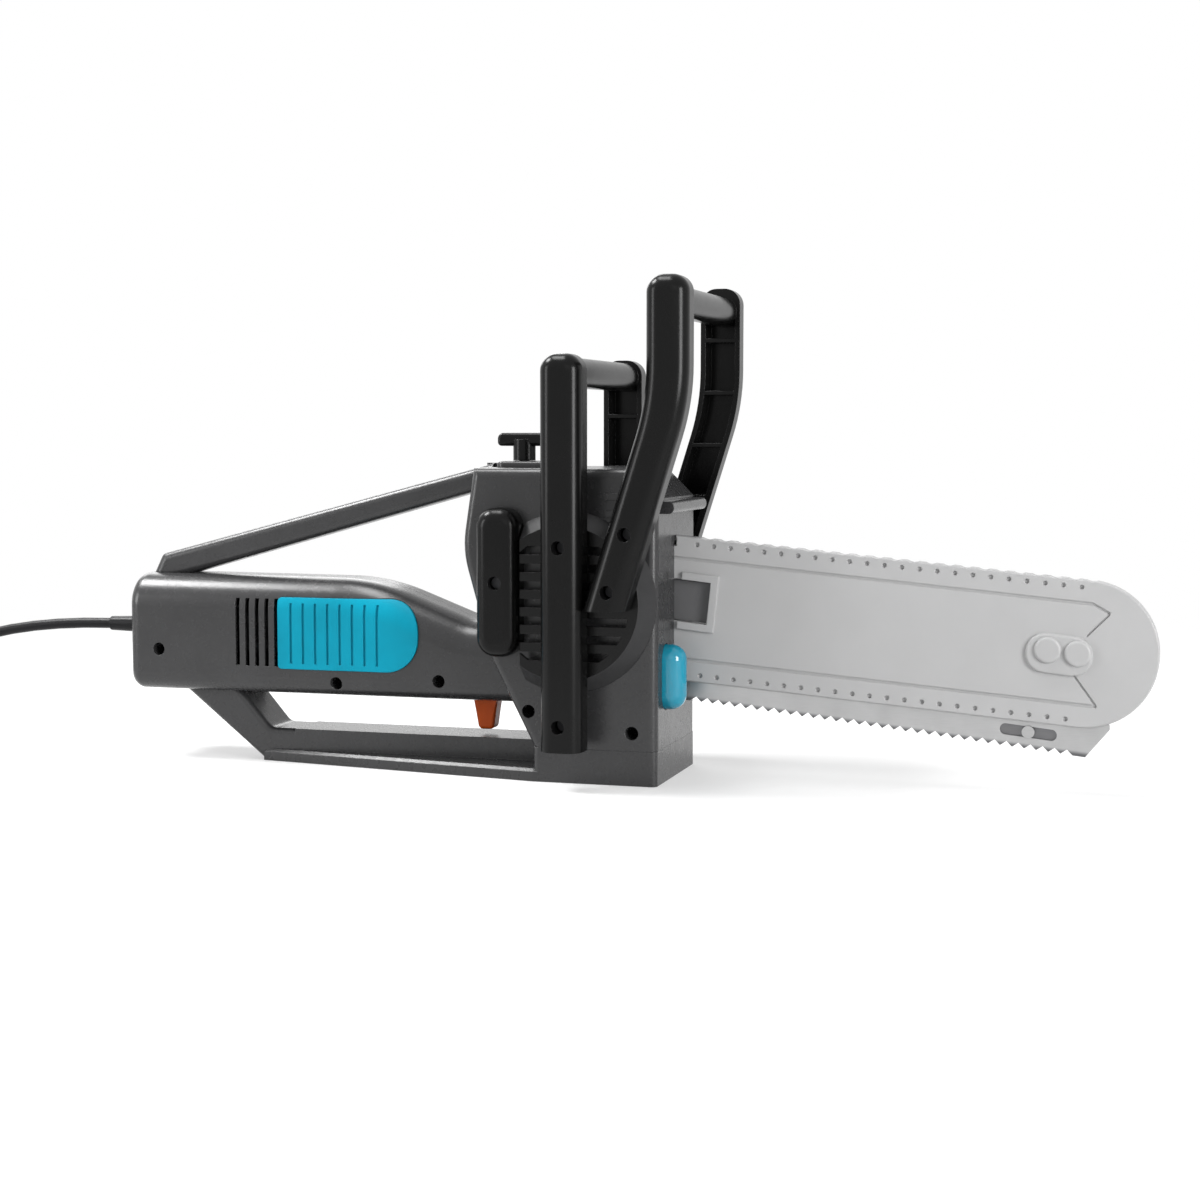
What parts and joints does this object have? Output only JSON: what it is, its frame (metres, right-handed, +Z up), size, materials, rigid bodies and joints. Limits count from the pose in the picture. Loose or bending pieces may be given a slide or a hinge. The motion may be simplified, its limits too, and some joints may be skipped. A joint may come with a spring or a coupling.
{
  "type": "electric knife",
  "caption": "Electric carving knife styled as a small chainsaw: grip handle, hooped body, bar-shaped sheath over serrated blades, trigger and mains cord.",
  "frame": {"origin": "floor level under the middle of the knife's length, on its middle plane, cord not counted", "axes": "+X towards the blade tip, +Z up, +Y to the far side of the picture"},
  "size_m": [0.8767, 0.124, 0.237],
  "materials": {
    "housing": "satin, fine grain",
    "guard": "satin",
    "hoop": "glossy",
    "grip": "satin",
    "button": "glossy",
    "trigger": "satin",
    "sheath": "satin silver",
    "blade": "brushed",
    "bright": "plain",
    "screw": "black",
    "lug": "satin",
    "can": "plated",
    "iron": "plain",
    "copper": "enamelled",
    "bearing": "sintered",
    "carbon": "plain",
    "board": "plain",
    "inner": "plain",
    "acetal": "plain",
    "cord": "satin",
    "pins": "nickel plated"
  },
  "bodies": {
    "frame": {"housing_right": "housing", "housing_left": "housing", "housing_screws": "screw", "grip_pad_right": "grip", "grip_pad_left": "grip", "base_guard": "guard", "base_screws": "screw", "top_brace": "guard", "front_handle": "hoop", "front_handle_screws": "screw", "hand_guard": "hoop", "hand_guard_screws": "screw", "fan_cover_left": "housing", "fan_cover_right": "housing", "pull_bar": "hoop", "pull_bar_screw": "screw", "top_cover": "housing", "motor_can": "can", "end_bells": "inner", "shaft_bushes": "bearing", "field_magnets": "iron", "carbon_brushes": "carbon", "brush_card": "board", "motor_mounts": "inner", "gear_axle": "bright", "drive_guide": "acetal", "sheath_right": "sheath", "sheath_left": "sheath", "nose_rivets": "sheath", "bar_lug": "lug", "trigger_pin": "bright", "trigger_spring": "bright", "power_switch": "inner", "button_spring": "bright", "strain_relief": "cord", "inner_lead": "cord", "power_cord": "cord", "cord_coil": "cord", "cord_tie": "cord", "plug_body": "cord", "plug_pins": "pins"},
    "rotor": {"motor_shaft": "bright", "armature_core": "iron", "armature_winding": "copper", "commutator": "copper", "cooling_fan": "inner", "worm": "bright"},
    "gear": {"drive_gear": "acetal"},
    "left_blade": {"blade_driver_left": "acetal", "blade_left": "blade", "blade_rivet": "blade"},
    "right_blade": {"blade_driver_right": "acetal", "blade_right": "blade"},
    "trigger": {"trigger": "trigger"},
    "plunger": {"switch_plunger": "acetal"},
    "button": {"release_button": "button"},
    "knob": {"wing_knob": "hoop", "knob_clip": "bright"}
  },
  "joints": [
    {"name": "rotor_spin", "type": "hinge", "parent": "frame", "child": "rotor", "pos_m": [-0.18536, 0, 0.0645], "axis": [1, 0, 0], "range_deg": [-2520, 2520]},
    {"name": "gear_turn", "type": "hinge", "parent": "frame", "child": "gear", "pos_m": [-0.01136, 0, 0.0455], "axis": [0, 1, 0], "range_deg": [-90, 90]},
    {"name": "left_blade_slide", "type": "slide", "parent": "frame", "child": "left_blade", "axis": [0.9947, 0, -0.1028], "range_m": [-0.004, 0.004]},
    {"name": "right_blade_slide", "type": "slide", "parent": "frame", "child": "right_blade", "axis": [0.9947, 0, -0.1028], "range_m": [-0.004, 0.004]},
    {"name": "trigger_pull", "type": "hinge", "parent": "frame", "child": "trigger", "pos_m": [-0.06536, 0, 0.046], "axis": [0, 1, 0], "range_deg": [0, 10], "stiffness_Nm_per_rad": 0.25, "springref_deg": -20.05, "deforming": ["trigger_spring"]},
    {"name": "plunger_slide", "type": "slide", "parent": "frame", "child": "plunger", "axis": [1, 0, 0], "range_m": [0, 0.0015]},
    {"name": "button_press", "type": "slide", "parent": "frame", "child": "button", "axis": [-1, 0, 0], "range_m": [0, 0.004], "stiffness_N_per_m": 800, "springref_m": -0.004, "deforming": ["button_spring"]},
    {"name": "knob_turn", "type": "hinge", "parent": "frame", "child": "knob", "pos_m": [-0.04836, 0, 0.152], "axis": [0, 0, 1], "range_deg": [-90, 90]}
  ],
  "couplings": [
    {"joint": "gear_turn", "follows": "rotor_spin", "ratio": -0.035714},
    {"joint": "left_blade_slide", "follows": "rotor_spin", "m_per_rad": -0.0000909},
    {"joint": "right_blade_slide", "follows": "rotor_spin", "m_per_rad": 0.0000909},
    {"joint": "plunger_slide", "follows": "trigger_pull", "m_per_rad": 0.0085}
  ]
}
